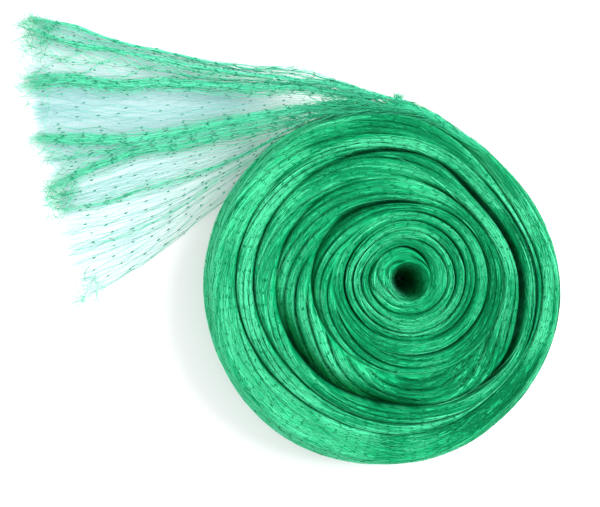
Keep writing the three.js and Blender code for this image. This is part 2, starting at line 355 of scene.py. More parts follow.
# Curled strand ends at the cut end: the fold they lie at, how far they spread in folds, and how many
TANGLES = (
    (0.6, 0.35, 80), (1.4, 0.3, 56), (2.2, 0.25, 36), (3.3, 0.25, 24), (4.5, 0.4, 120), (6.9, 0.1, 34),
)
CURL_POINTS = 8
CURL_STARTS = (-2, 20)
CURL_LIFTS = (0.2, 4.0)
CURL_LENGTHS = (6, 15)
CURL_RISES = (-2, 1)
CURL_TONES = (0, 0.6)
CURL_TURN = 0.8
CURL_BEND = 1.1
CURL_STRIDE = 2

# Tuft and loose strands where the net leaves the top edge of the roll: the angles they start between,
# their heights, how far off the wall they start, their lengths, heading and how far it varies, and how
# many there are
Tuft = namedtuple("Tuft", "first last low high near far shortest longest heading spread count")
TUFTS = (
    Tuft(91.5, 94, 60, 70, 7, 11, 3, 6, 60, 60, 130),
    Tuft(80, 94, 56, 68, 1, 4, 6, 12, -4, 6, 50),
    Tuft(94, 112, 54, 70, 2, 8, 16, 36, 168, 9, 120),
    Tuft(76, 101, 60, 70, 2, 6, 20, 38, 177, 5, 220),
)
TUFT_BEND = 0.25
TUFT_RISES = (-6, 1)
TUFT_TONES = (0, 0.3)

NOISE = np.random.default_rng(SEED).random((64, 64))


def smoothstep(value, low, high):
    place = np.clip((value - low) / (high - low), 0, 1)
    return place * place * (3 - 2 * place)


def lerp(first, last, share):
    return first + (last - first) * share


def noise(first, second):
    """Smooth random values from 0 to 1 over a plane."""
    rows = np.floor(first).astype(int)
    columns = np.floor(second).astype(int)
    down = smoothstep(first - rows, 0, 1)
    along = smoothstep(second - columns, 0, 1)
    size = len(NOISE)
    upper, lower = (
        lerp(NOISE[row % size, columns % size], NOISE[row % size, (columns + 1) % size], along)
        for row in (rows, rows + 1)
    )
    return lerp(upper, lower, down)


def uneven(kind, first, second):
    """Smooth random changes from 0 to the kind's size."""
    return kind.size * noise(first * kind.first, second * kind.second)


def either_way(kind, first, second):
    """The same, but half of them below 0."""
    return uneven(kind, first, second) - kind.size / 2


def waves(place, rows):
    return sum(row.size * np.sin(place * row.pace + row.start) for row in rows)


def within(turn, start, end):
    """1 between two turns, fading to 0 on both sides."""
    rise = smoothstep(turn, start - GAP_FADE, start + GAP_FADE)
    return rise - smoothstep(turn, end - GAP_FADE, end + GAP_FADE)


def on_stretches(turn, rows):
    """The value of the stretch that a turn lies on, from rows of start, end and value."""
    return sum(value * within(turn, start, end) for start, end, value in rows)


def row_below(place, last):
    """The whole number at or below a place, from 0 to the last row."""
    return np.clip(np.floor(place).astype(int), 0, last)


def curve(here, after, leaving, arriving, share):
    """A smooth step from one point to the next with the given slopes."""
    cubic = 2 * here - 2 * after + leaving + arriving
    square = 3 * after - 3 * here - 2 * leaving - arriving
    return ((cubic * share + square) * share + leaving) * share + here


def groove_radius(turn):
    """Radius of the groove inside a turn, on an even curve through the table."""
    place = np.asarray(turn) * DIRECTIONS
    last = len(GROOVES) - 1
    index = row_below(place, last)
    share = place - index
    before, here, after, beyond = (GROOVES[np.clip(index + step, 0, last)] for step in (-1, 0, 1, 2))
    return curve(here, after, (after - before) / 2, (beyond - here) / 2, share)


def band_width(turn):
    return groove_radius(turn + 1) - groove_radius(turn)


def band_radius(turn, across):
    """Radius across the band, whose end thins out on the wall."""
    thins = BAND_THINS * smoothstep(turn, BAND_TURNS - BAND_THINS_TURNS, BAND_TURNS)
    return lerp(groove_radius(turn), groove_radius(turn + 1), across * (1 - thins))


def crest_height(turn):
    return ROLL_HEIGHT - sum(wave.size for wave in CREST_WAVES) + waves(turn, CREST_WAVES)


def groove_height(turn):
    ordinary = GROOVE_DEPTH * lerp(*GROOVE_SHARES, noise(turn * GROOVE_PACE, 0.5))
    rim = 1 - smoothstep(turn, *RIM_TURNS)
    return ROLL_HEIGHT - lerp(ordinary, RIM_DROP, rim) - on_stretches(turn, DEEP_GAPS)


def top_height(turn, across):
    lean = 1 + sum((row.lean - 1) * within(turn, row.start, row.end) for row in LEANING_TURNS)
    whole = 1 - smoothstep(turn, BAND_TURNS - BAND_END_TURNS, BAND_TURNS)
    power = lerp(CORE_ARCH_POWER, OUTER_ARCH_POWER, smoothstep(turn, *ARCH_TURNS))
    power = power + sum((row.power - power) * within(turn, row.start, row.end) for row in LEANING_TURNS)
    arch = whole * (1 - np.abs(2 * across ** lean - 1) ** power)
    base = lerp(groove_height(turn), groove_height(turn + 1), across)
    return lerp(base, crest_height(turn), arch)


def wall_inset(angle, down):
    shoulder = SHOULDER_INSET * smoothstep(1 - down, 1 - SHOULDER_ENDS, 1)
    foot = FOOT_INSET * smoothstep(down, FOOT_STARTS, 1)
    crease = np.sin(np.pi * (WALL_FOLDS * down + waves(angle, WALL_WAVES))) ** WALL_FOLD_SHARPNESS
    return shoulder + foot + WALL_FOLD_DEPTH * crease


def slant(turn):
    """How far the strands have moved outwards across their turns."""
    return sum(zone.shift * smoothstep(turn, zone.start, zone.end) for zone in SLANTS)


def slanting(turn):
    """1 where the strands slant across their turn, 0 where they run along it."""
    return sum(within(turn, zone.start, zone.end) for zone in SLANTS)


def always_creased(turn):
    """Share of the creases' depth that never fades."""
    return sum(zone.creased * within(turn, zone.start, zone.end) for zone in SLANTS)


def creases(phase, along, least=0.0):
    """Sharp notches at the whole numbers, each fading along its length to the least depth."""
    crease = np.round(phase)
    notch = np.clip(1 - np.abs(phase - crease) / CREASE_REACH, 0, 1) ** 2
    fade = smoothstep(noise(along, crease * CREASE_NOISE_ROWS + 0.5), *CREASE_FADE)
    return notch * lerp(least, 1, fade)


def pleat_depth(turn, across):
    """How deep the top lies below its smooth arch: pleats with creases between them."""
    count = lerp(PLEATS_IN_CORE, PLEATS_OUTSIDE, smoothstep(turn + across, *PLEAT_TURNS))
    phase = count * (across - slant(turn)) + uneven(PLEAT_WANDER, turn, PLEAT_NOISE_ROW)
    small = SMALL_PLEATS * phase + uneven(SMALL_PLEAT_WANDER, turn, across)
    edge = smoothstep(np.minimum(across, 1 - across), 0, PLEAT_EDGE)
    edge = edge * (1 - on_stretches(turn, SMOOTH_TURNS))
    depth = lerp(CORE_PLEAT_DEPTH, PLEAT_DEPTH, smoothstep(turn + across, *PLEAT_TURNS))
    depth = depth * (1 + SLANTED_PLEATS_DEEPER * slanting(turn))
    depth = depth * lerp(1, LAST_PLEATS, smoothstep(turn + across, *LAST_PLEAT_TURNS))
    large = depth * creases(phase, turn * CREASE_PACE, always_creased(turn))
    return edge * (large + SMALL_PLEAT_DEPTH * creases(small, turn * SMALL_CREASE_PACE))


def wall_drift(turn):
    """How far the pleats of the outer wall have moved down it, going round."""
    return WALL_DRIFT * turn + waves(turn * 2 * np.pi, WALL_DRIFT_WAVES)


def wall_pleat_depth(turn, down):
    """The pleats on the outer wall, which run round it."""
    edge = smoothstep(np.minimum(down, 1 - down), 0, WALL_PLEAT_EDGE)
    end = smoothstep(np.minimum(BAND_TURNS - turn, turn - BAND_TURNS + 1), 0, WALL_PLEAT_END)
    notches = creases(WALL_PLEATS * down + wall_drift(turn), turn * WALL_CREASE_PACE)
    return WALL_PLEAT_DEPTH * edge * end * notches


def band_points(turn, across, down, lift=0.0):
    """Points of the band: along it in turns, across it, and down it from top to underside."""
    layer = turn + across
    angle = turn * 2 * np.pi
    inside = 1 - smoothstep(layer, *TAPER_TURNS)
    outside = smoothstep(layer, BAND_TURNS - WALL_TURNS, BAND_TURNS)
    on_wall = smoothstep(layer, BAND_TURNS - WALL_SEAM_TURNS, BAND_TURNS)
    radius = band_radius(turn, across)
    hole = HOLE_CLOSES * groove_radius(turn % 1) * down ** HOLE_FUNNEL
    radius = radius - inside * hole - outside * wall_inset(angle, down)
    radius = radius - on_wall * (wall_pleat_depth(turn, down) - lift * (down > 0))
    top = top_height(turn, across) - pleat_depth(turn, across) + lift * (down == 0)
    near_edge = np.maximum(0, np.abs(2 * across - 1) - UNDERSIDE_FLAT) / (1 - UNDERSIDE_FLAT)
    height = lerp(top, UNDERSIDE_GROOVE * near_edge, down)
    return np.stack((radius * np.cos(angle), radius * np.sin(angle), height), axis=-1)


def bend(rows, place):
    """Points on smooth curves through rows of points, a row for each whole number."""
    index = row_below(place, len(rows) - 2)
    share = (place - index)[:, None]
    longer = np.concatenate((2 * rows[:1] - rows[1:2], rows, 2 * rows[-1:] - rows[-2:-1]))
    column = np.arange(rows.shape[1])
    before, here, after, beyond = (longer[index + step, column] for step in range(4))
    first, middle, final = (
        np.maximum(np.linalg.norm(end - start, axis=1, keepdims=True), TINY) ** 0.5
        for start, end in ((before, here), (here, after), (after, beyond))
    )
    leaving = (here - before) / first - (after - before) / (first + middle) + (after - here) / middle
    arriving = (after - here) / middle - (beyond - here) / (middle + final) + (beyond - after) / final
    return curve(here, after, leaving * middle, arriving * middle, share)


def wall_points(angle, height, clearance):
    """Points just off the outer wall of the roll."""
    turn = np.floor(BAND_TURNS) - 1 + angle / 360 + (angle < BAND_END_ANGLE)
    direction = np.radians(angle)
    radius = band_radius(turn, 1.0) - wall_inset(direction, 1 - height / ROLL_HEIGHT) + clearance
    return np.stack((radius * np.cos(direction), radius * np.sin(direction), height), axis=-1)


def fold_curve(fold, along):
    """Points along one fold, from the roll at 0 to the cut end at 1."""
    root = wall_points(np.array(fold.angle), np.array(fold.height), ROOT_CLEARANCE)
    rows = np.array((root, fold.near, fold.middle, fold.far), dtype=float)
    spread = np.repeat(rows[:, None], len(along), axis=1)
    return bend(spread, along * (len(rows) - 1))


def sheet_points(along, fold):
    """Points of the loose end: along it from the roll to the cut end, and across it in folds."""
    points = bend(np.stack([fold_curve(row, along) for row in FOLDS]), fold)
    web = row_below(fold, LAST_FOLD - 1)
    sag = np.array(WEB_SAGS)[web] * smoothstep(along, SAG_STARTS, SAG_FULL) * np.sin(np.pi * fold) ** 2
    points[:, 2] = np.maximum(0, points[:, 2]) * (1 - sag)
    return points


def in_frame(points):
    """Points about the hole in millimetres, as metres in the shared frame."""
    return (points + np.array((*HOLE_AT, 0))) * MM


TURN_STEPS = np.linspace(0, BAND_TURNS + 1, LENGTH_STEPS)
STEP_LENGTHS = np.diff(TURN_STEPS) * 2 * np.pi * groove_radius(TURN_STEPS[1:])
LENGTHS = np.concatenate(((0,), np.cumsum(STEP_LENGTHS)))


def length_along(turn):
    """Length of band from its start to a turn."""
    return np.interp(turn, TURN_STEPS, LENGTHS)


# Materials


class Value:
    """One output of a shader node. Sums on values add Math nodes."""

    def __init__(self, shader, socket):
        self.shader = shader
        self.socket = socket

    def math(self, operation, first, last):
        return self.shader.add("Math", {"operation": operation}, {0: first, 1: last})

    def __add__(self, other):
        return self.math("ADD", self, other)

    __radd__ = __add__

    def __sub__(self, other):
        return self.math("SUBTRACT", self, other)

    def __rsub__(self, other):
        return self.math("SUBTRACT", other, self)

    def __mul__(self, other):
        return self.math("MULTIPLY", self, other)

    __rmul__ = __mul__


class Shader:
    """A material and the nodes in it."""

    def __init__(self, name):
        self.material = bpy.data.materials.new(name)
        self.material.use_nodes = True
        self.tree = self.material.node_tree
        self.tree.nodes.clear()

    def add(self, kind, settings=None, inputs=None, output=0):
        node = self.tree.nodes.new("ShaderNode" + kind)
        for name, value in (settings or {}).items():
            if name == "stops":
                self.set_stops(node.color_ramp, value)
            else:
                setattr(node, name, value)
        for name, value in (inputs or {}).items():
            if isinstance(value, Value):
                self.tree.links.new(value.socket, node.inputs[name])
            else:
                node.inputs[name].default_value = value
        return Value(self, node.outputs[output]) if node.outputs else None

    def set_stops(self, ramp, stops):
        while len(ramp.elements) < len(stops):
            ramp.elements.new(1.0)
        for element, (place, colour) in zip(ramp.elements, stops):
            element.position = place
            element.color = colour

    def surface(self, **inputs):
        names = {name.replace("_", " "): value for name, value in inputs.items()}
        shader = self.add("BsdfPrincipled", None, names)
        self.add("OutputMaterial", None, {"Surface": shader})
        return self.material


def colour(red, green, blue):
    """A linear colour from the usual 0 to 255 values."""
    shares = (value / 255 for value in (red, green, blue))
    linear = [share / 12.92 if share < 0.04045 else ((share + 0.055) / 1.055) ** 2.4 for share in shares]
    return (*linear, 1.0)


NET_GREEN = colour(10, 158, 100)
KNOT_GREEN = colour(0, 118, 72)
LOOSE_DEEP = colour(16, 160, 104)
LOOSE_KNOT_GREEN = colour(30, 140, 108)
FINE_GREEN = colour(112, 200, 182)
STRAND_SPECULAR = 0.04

# Strands and knots: their colours from deep to pale, and their roughness
Finish = namedtuple("Finish", "name deep middle pale roughness")
NET_STRAND = Finish("net_strand", colour(8, 116, 70), colour(20, 162, 106), colour(88, 220, 168), 0.45)
WOUND_KNOT = Finish("wound_knot", KNOT_GREEN, KNOT_GREEN, NET_GREEN, 0.5)
LOOSE_STRAND = Finish("loose_strand", LOOSE_DEEP, colour(110, 246, 204), colour(172, 244, 226), 0.4)
LOOSE_KNOT = Finish("loose_knot", LOOSE_KNOT_GREEN, LOOSE_KNOT_GREEN, LOOSE_DEEP, 0.5)
FINE_STRAND = Finish("fine_strand", FINE_GREEN, FINE_GREEN, colour(170, 226, 216), 0.5)

# Noise drawn out along the strands: its paces along and across them, its detail and how far it slants
Streaks = namedtuple("Streaks", "along across detail slope")
LEFT_STRANDS = Streaks(0.07, 1.5, 3.0, 0.1)
RIGHT_STRANDS = Streaks(0.07, 1.4, 3.0, -0.1)
BUNDLES = Streaks(0.03, 0.6, 2.0, 0.02)
BROAD_STREAKS = Streaks(0.02, 0.25, 2.0, 0.0)
PATCHES = Streaks(0.05, 0.05, 1.0, 0.0)
VEIL_STREAKS = Streaks(0.015, 7.0, 2.0, 0.0)
VEIL_STRANDS = Streaks(0.2, 40.0, 1.0, 0.0)

# Wound net: how much each kind of streak counts, and its colours
BUNDLES_SHARE = 0.6
BROAD_SHARE = 0.4
PATCHES_SHARE = 0.5
NET_DEEPER = 0.75
NET_STOPS = ((0.2, colour(4, 88, 48)), (0.5, NET_GREEN), (0.85, colour(70, 212, 154)))
NET_ROUGHNESS = 0.5
BUMP_STRENGTH = 0.6
BUMP_DISTANCE = 0.0008

# Sheer sheet: how dense it is at places across it in folds, how it frays at the cut end, and how it thins
# towards the roll, from nearer the cut end on the lower folds
VEIL_DENSITY = ((0, 0.7), (1, 0.6), (1.5, 0.42), (2, 0.8), (2.5, 1.0), (3, 0.8), (4.5, 0.58), (7, 0.48))
VEIL_STREAKS_SHARE = 0.36
VEIL_STRANDS_SHARE = 0.19
VEIL_FRAY_PACE = 0.1
VEIL_FRAY_STREAKS = 1.2
VEIL_FRAY = 0.5
VEIL_THINS_FROM = 190.0
VEIL_THINS_SOONER = 22.0
VEIL_THINS_PACE = 0.015
VEIL_THINS = 0.85
# Colours of the sheet: grey-green, partly as painted shade of the net on the floor
VEIL_STOPS = ((0.3, colour(88, 172, 170)), (0.7, colour(132, 194, 198)))
VEIL_ROUGHNESS = 0.7
VEIL_SPECULAR = 0.1


def strand_place(shader):
    """Place along and across the strands, from the piece's own map."""
    place = shader.add("UVMap", {"uv_map": "along_across"})
    return [shader.add("SeparateXYZ", None, {0: place}, axis) for axis in range(2)]


def streaks(shader, along, across, kind):
    sideways = (across + along * kind.slope) * kind.across
    vector = shader.add("CombineXYZ", None, {0: along * kind.along, 1: sideways})
    return shader.add("TexNoise", None, {"Vector": vector, "Scale": 1.0, "Detail": kind.detail})


def wound_net_material():
    """Gathered net: fine crossing strands along the winding, in bundles and patches."""
    shader = Shader("wound_net")
    along, across = strand_place(shader)
    kinds = (LEFT_STRANDS, RIGHT_STRANDS, BUNDLES, BROAD_STREAKS, PATCHES)
    left, right, bundles, broad, patches = (streaks(shader, along, across, kind) for kind in kinds)
    strands = left * 0.5 + right * 0.5
    tone = strands + bundles * BUNDLES_SHARE + broad * BROAD_SHARE + patches * PATCHES_SHARE - NET_DEEPER
    base = shader.add("ValToRGB", {"stops": NET_STOPS}, {"Fac": tone})
    relief = {"Strength": BUMP_STRENGTH, "Distance": BUMP_DISTANCE, "Height": strands + bundles}
    return shader.surface(
        Base_Color=base, Roughness=NET_ROUGHNESS, Specular_IOR_Level=STRAND_SPECULAR,
        Normal=shader.add("Bump", None, relief),
    )


def veil_and_shade_material():
    """Net too fine to see strand by strand, together with painted shade that the net casts on the floor:
    sheer, denser in streaks along the folds, and frayed away at the cut end."""
    shader = Shader("loose_veil_and_shade")
    from_end, across = strand_place(shader)
    broad = streaks(shader, from_end, across, VEIL_STREAKS)
    strands = streaks(shader, from_end, across, VEIL_STRANDS)
    frayed = from_end * VEIL_FRAY_PACE + broad * VEIL_FRAY_STREAKS - VEIL_FRAY
    near_roll = (from_end + across * VEIL_THINS_SOONER - VEIL_THINS_FROM) * VEIL_THINS_PACE
    stops = [(fold / LAST_FOLD, (density, density, density, 1.0)) for fold, density in VEIL_DENSITY]
    density = shader.add("ValToRGB", {"stops": stops}, {"Fac": across * (1 / LAST_FOLD)})
    density = density * shader.add("Clamp", None, {0: frayed})
    density = density * (1.0 - shader.add("Clamp", None, {0: near_roll}) * VEIL_THINS)
    base = shader.add("ValToRGB", {"stops": VEIL_STOPS}, {"Fac": strands})
    return shader.surface(
        Base_Color=base, Roughness=VEIL_ROUGHNESS, Specular_IOR_Level=VEIL_SPECULAR,
        Alpha=density * (broad * VEIL_STREAKS_SHARE + strands * VEIL_STRANDS_SHARE),
    )


def strand_material(finish):
    """Net strand: each strand has its own tone."""
    shader = Shader(finish.name)
    tone = shader.add("Attribute", {"attribute_name": "tone"}, None, "Fac")
    stops = ((0.0, finish.deep), (0.5, finish.middle), (1.0, finish.pale))
    base = shader.add("ValToRGB", {"stops": stops}, {"Fac": tone})
    return shader.surface(
        Base_Color=base, Roughness=finish.roughness, Specular_IOR_Level=STRAND_SPECULAR
    )


# Meshes. The bake map leaves margins between its rows, strips and cells.

ROW_MARGIN = 0.05
STRIP_MARGIN = 0.1

# Where the band's faces start on the bake map, and their heights there: top, underside, wall, hole and ends
BAKE_ROWS = ((0.0, 0.6), (0.61, 0.1), (0.72, 0.18), (0.91, 0.04), (0.955, 0.02), (0.98, 0.02))


def add_object(data):
    thing = bpy.data.objects.new(data.name, data)
    bpy.context.scene.collection.objects.link(thing)
    return thing


def mesh_from(bm, name):
    mesh = bpy.data.meshes.new(name)
    bm.to_mesh(mesh)
    bm.free()
    return mesh


def add_grid(bm, columns, rows):
    """A flat grid: its points, and how far along and across it they are, from 0 to 1."""
    verts = bmesh.ops.create_grid(bm, x_segments=columns, y_segments=rows, size=0.5)["verts"]
    along, across = np.array([vert.co[:2] for vert in verts]).T + 0.5
    return verts, along, across


def move(verts, points):
    for vert, point in zip(verts, in_frame(points)):
        vert.co = point


def add_layers(mesh, bake, tones):
    """Places on the bake map by face corner, and tones by point."""
    mesh.uv_layers.new(name="OFBake").data.foreach_set("uv", bake.ravel().astype(np.float32))
    tone = mesh.attributes.new("tone", "FLOAT", "POINT")
    tone.data.foreach_set("value", tones.ravel().astype(np.float32))


def finish_piece(mesh, material, node):
    mesh.materials.append(material)
    mesh.shade_smooth()
    piece = add_object(mesh)
    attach(piece, "root")
    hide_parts(node)
    return piece


def add_band_face(bm, place, columns, rows, bake_rows):
    """One face of the band: a grid whose points are moved onto it. On the bake map a long face has a
    row for each turn."""
    verts, lengthwise, sideways = add_grid(bm, columns, rows)
    turn, across, down = place(lengthwise, sideways)
    move(verts, band_points(turn, across, down))
    lateral = (across - slant(turn)) * STRAND_MAP_WIDTH + down * ROLL_HEIGHT
    strands = dict(zip(verts, zip(length_along(turn), lateral)))
    rows_to_bake = max(1, round(columns / STEPS_PER_TURN))
    bake = dict(zip(verts, zip(lengthwise * rows_to_bake, sideways)))
    strand_map = bm.loops.layers.uv["along_across"]
    bake_map = bm.loops.layers.uv["OFBake"]
    bake_from, bake_height = bake_rows
    for face in {face for vert in verts for face in vert.link_faces}:
        row = int(min(bake[vert][0] for vert in face.verts) + TINY)
        for loop in face.loops:
            loop[strand_map].uv = strands[loop.vert]
            along, up = bake[loop.vert]
            height = (row + lerp(ROW_MARGIN, 1 - ROW_MARGIN, up)) / rows_to_bake
            loop[bake_map].uv = (along - row, bake_from + bake_height * height)


def wound_net_body():
    """The closed body of the wound band."""
    bm = bmesh.new()
    bm.loops.layers.uv.new("along_across")
    bm.loops.layers.uv.new("OFBake")
    steps = round(BAND_TURNS * STEPS_PER_TURN)
    ones = np.ones_like
    zeros = np.zeros_like
    outer = BAND_TURNS - 1
    faces = (
        (lambda u, v: (u * BAND_TURNS, v, zeros(u)), steps, ROWS_ON_TOP),
        (lambda u, v: (u * BAND_TURNS, v, ones(u)), steps, ROWS_UNDER),
        (lambda u, v: (outer + u, ones(u), v), STEPS_PER_TURN, ROWS_DOWN_WALL),
        (lambda u, v: (u, zeros(u), v), STEPS_PER_TURN, ROWS_DOWN_WALL),
        (lambda u, v: (zeros(u), u, v), ROWS_ON_TOP, ROWS_DOWN_WALL),
        (lambda u, v: (BAND_TURNS * ones(u), u, v), ROWS_ON_TOP, ROWS_DOWN_WALL),
    )
    for face, bake_rows in zip(faces, BAKE_ROWS):
        add_band_face(bm, *face, bake_rows)
    bmesh.ops.remove_doubles(bm, verts=bm.verts, dist=TINY)
    bmesh.ops.recalc_face_normals(bm, faces=bm.faces)
    finish_piece(mesh_from(bm, "wound_net_body"), wound_net_material(), "netting_roll")


def unit(vectors):
    return vectors / np.maximum(np.linalg.norm(vectors, axis=-1, keepdims=True), TINY)


def strand_piece(name, node, material, paths, radii, tones, sides=THIN_SIDES):
    """Many strands as one piece of thin closed tubes. Radii are given by strand and point, tones by
    strand, point and side, and each strand has a strip of the bake map."""
    count, points = paths.shape[:2]
    tangent = unit(np.gradient(paths, axis=1))
    side = unit(np.cross(tangent, (0, 0, 1)))
    over = np.cross(side, tangent)
    around = np.arange(sides) * 2 * np.pi / sides + np.pi / 2
    ring = np.cos(around)[:, None] * side[:, :, None] + np.sin(around)[:, None] * over[:, :, None]
    thickness = np.broadcast_to(radii, (count, points))[:, :, None, None]
    verts = in_frame(paths[:, :, None] + thickness * ring).reshape(-1, 3)

    strand, step, edge = (
        index.ravel() for index in np.meshgrid(
            np.arange(count), np.arange(points - 1), np.arange(sides), indexing="ij"
        )
    )
    corner = (strand * points + step) * sides
    following = (edge + 1) % sides
    quads = np.stack(
        (corner + edge, corner + sides + edge, corner + sides + following, corner + following), axis=1
    )
    start = np.arange(count)[:, None] * points * sides + np.arange(sides)
    end = start[:, ::-1] + (points - 1) * sides
    mesh = bpy.data.meshes.new(name)
    mesh.from_pydata(verts.tolist(), [], quads.tolist() + start.tolist() + end.tolist())

    along = np.stack((step, step + 1, step + 1, step), axis=1) / (points - 1)
    strip = np.stack((edge, edge, edge + 1, edge + 1), axis=1) / sides
    strip = lerp(STRIP_MARGIN, 1 - STRIP_MARGIN, strip)
    sides_map = np.stack((along, (strand[:, None] + strip) / count), axis=2).reshape(-1, 2)
    cap_map = np.stack((np.zeros(count), (np.arange(count) + 0.5) / count), axis=1)
    cap_map = np.repeat(cap_map, sides, axis=0)
    bake = np.concatenate((sides_map, cap_map, cap_map + (1, 0)))
    add_layers(mesh, bake, np.broadcast_to(tones, (count, points, sides)))
    return finish_piece(mesh, material, node)


def knot_shape():
    """Corners and faces of one knot, a small bead."""
    bm = bmesh.new()
    bmesh.ops.create_uvsphere(bm, u_segments=KNOT_SEGMENTS, v_segments=KNOT_RINGS, radius=1.0)
    corners = np.array([vert.co[:] for vert in bm.verts])
    faces = np.array([[vert.index for vert in face.verts] for face in bm.faces])
    bm.free()
    return corners, faces


def knot_piece(name, node, material, centres, directions, lengths, radii, tones):
    """Many knots as one piece, each drawn out along its strand, with a cell of the bake map."""
    corners, faces = knot_shape()
    count = len(centres)
    directions = unit(directions)
    side = unit(np.cross(directions, (0, 0, 1)))
    over = np.cross(side, directions)
    axes = np.stack((directions * lengths[:, None], side * radii[:, None], over * radii[:, None]), axis=1)
    verts = in_frame(centres[:, None] + corners @ axes)
    shifted = faces + np.arange(count)[:, None, None] * len(corners)
    mesh = bpy.data.meshes.new(name)
    mesh.from_pydata(verts.reshape(-1, 3).tolist(), [], shifted.reshape(-1, 3).tolist())

    cells = int(np.ceil(count ** 0.5))
    cell = np.stack((np.arange(count) % cells, np.arange(count) // cells), axis=1)
    low = STRIP_MARGIN
    high = 1 - STRIP_MARGIN
    triangle = np.array(((low, low), (high, low), (0.5, high)))
    bake = np.repeat((cell[:, None] + triangle) / cells, len(faces), axis=0)
    add_layers(mesh, bake, np.repeat(tones, len(corners)))
    return finish_piece(mesh, material, node)


# Strands of the wound net


def net_tone(turn, lateral, rng):
    """Tone of strands from deep 0 to pale 1: neighbours are alike, so that streaks and patches show.
    Painted light makes the west side paler, and painted shade makes the east side deeper.
    """
    along = length_along(turn)
    streak = either_way(STREAKS_OF_TONE, lateral, along)
    patch = either_way(PATCHES_OF_TONE, along + PATCHES_START, lateral)
    # Painted light and shade: paler towards the west, deeper towards the east
    paler = OUTER_PALER * smoothstep(turn, *OUTER_PALER_TURNS) - WEST_PAINTED_LIGHT * np.cos(turn * 2 * np.pi)
    paler = paler + on_stretches(turn, PALE_TURNS)
    tone = NET_TONE + paler + streak + patch
    return np.clip(tone + rng.normal(0, TONE_SPREAD, turn.shape), 0, 1)


def strand_lift(rng, kind, steps):
    """How high strands lie along their length: their ends sink into the net under them."""
    lift = rng.uniform(kind.low, kind.high, (kind.count, 1))
    return lift - (1 + kind.radius) * np.abs(2 * steps - 1) ** DIVE_POWER


def turns_by_area(rng, first, last, count):
    """Turns picked at random, as often as the band has room there."""
    turns = np.linspace(first, last, AREA_STEPS)
    area = band_width(turns) * groove_radius(turns + 0.5)
    return rng.choice(turns, count, p=area / area.sum())


def top_strand_paths(rng, kind):
    """Strands along the top of the band and their tones. One that slants past the edge of its turn
    sinks into the groove there."""
    shape = (kind.count, 1)
    first = turns_by_area(rng, kind.first, kind.last, shape)
    place = rng.uniform(*TOP_STRANDS_ACROSS, shape)
    radius = lerp(groove_radius(first), groove_radius(first + 1), place)
    width = band_width(first)
    length = np.minimum(rng.uniform(kind.shortest, kind.longest, shape), LONGEST_ARC * radius)
    span = length / (2 * np.pi * radius)
    first = np.minimum(first, BAND_TURNS - span)
    steps = np.linspace(0, 1, kind.points)
    turn = first + span * steps
    stray = rng.normal(0, kind.stray, shape) * length / width * (steps - 0.5)
    across = place + slant(turn) - slant(first) + stray
    beyond = np.maximum(0, np.abs(across - 0.5) - 0.5 + TOP_STRAND_EDGE) * width
    across = np.clip(across, TOP_STRAND_EDGE, 1 - TOP_STRAND_EDGE)
    paths = band_points(turn, across, 0.0, strand_lift(rng, kind, steps) - beyond)
    return paths, net_tone(first, (place - slant(first)) * STRAND_MAP_WIDTH, rng)


def wall_strand_paths(rng, kind):
    """Strands round the outer wall."""
    shape = (kind.count, 1)
    length = rng.uniform(kind.shortest, kind.longest, shape)
    span = length / (2 * np.pi * ROLL_OUTSIDE)
    first = BAND_TURNS - 1 + rng.uniform(0, 1, shape)
    place = lerp(*WALL_STRANDS_DOWN, rng.uniform(0, 1, shape) ** WALL_CROWDING)
    steps = np.linspace(0, 1, kind.points)
    turn = first + span * steps
    stray = rng.normal(0, kind.stray, shape) * length / ROLL_HEIGHT * (steps - 0.5)
    drift = (wall_drift(turn) - wall_drift(first)) / WALL_PLEATS
    down = np.clip(place - drift + stray, *WALL_STRAND_LIMITS)
    lift = strand_lift(rng, kind, steps)
    turn = np.where(turn > BAND_TURNS, turn - 1, turn)
    paths = band_points(turn, np.ones_like(turn), down, lift)
    # Painted light and shade: wall strands deeper on the east and paler on the west
    paler = lerp(*WALL_PAINTED_LIGHT_AND_SHADE, 0.5 - 0.5 * np.cos(first * 2 * np.pi))
    return paths, np.clip(net_tone(first, place * ROLL_HEIGHT, rng) + paler, 0, 1)


def hole_strand_paths(rng, kind):
    """Strands that run round and down into the hole."""
    shape = (kind.count, 1)
    length = rng.uniform(kind.shortest, kind.longest, shape)
    span = length / (2 * np.pi * groove_radius(0.5))
    first = rng.uniform(0, 1, shape) * (1 - span)
    steps = np.linspace(0, 1, kind.points)
    turn = first + span * steps
    sink = rng.uniform(*HOLE_STRANDS_SINK, shape)
    down = np.clip(rng.uniform(0, HOLE_STRANDS_START, shape) + sink * steps, *HOLE_STRAND_LIMITS)
    paths = band_points(turn, np.zeros_like(turn), down)
    inward = strand_lift(rng, kind, steps)
    paths = paths - unit(paths * (1, 1, 0)) * inward[:, :, None]
    return paths, net_tone(first, down[:, :1] * ROLL_HEIGHT, rng)


def knot_rows(turn, lateral, rng):
    """Turns moved onto the rows in which the knots lie, which wander across the band."""
    length = length_along(turn)
    wander = uneven(KNOT_ROW_WANDER, lateral, length)
    row = np.round((length + wander) / KNOT_ROWS_APART) * KNOT_ROWS_APART
    length = row - wander + rng.normal(0, KNOT_ROW_SPREAD, turn.shape)
    return np.interp(length, LENGTHS, TURN_STEPS)


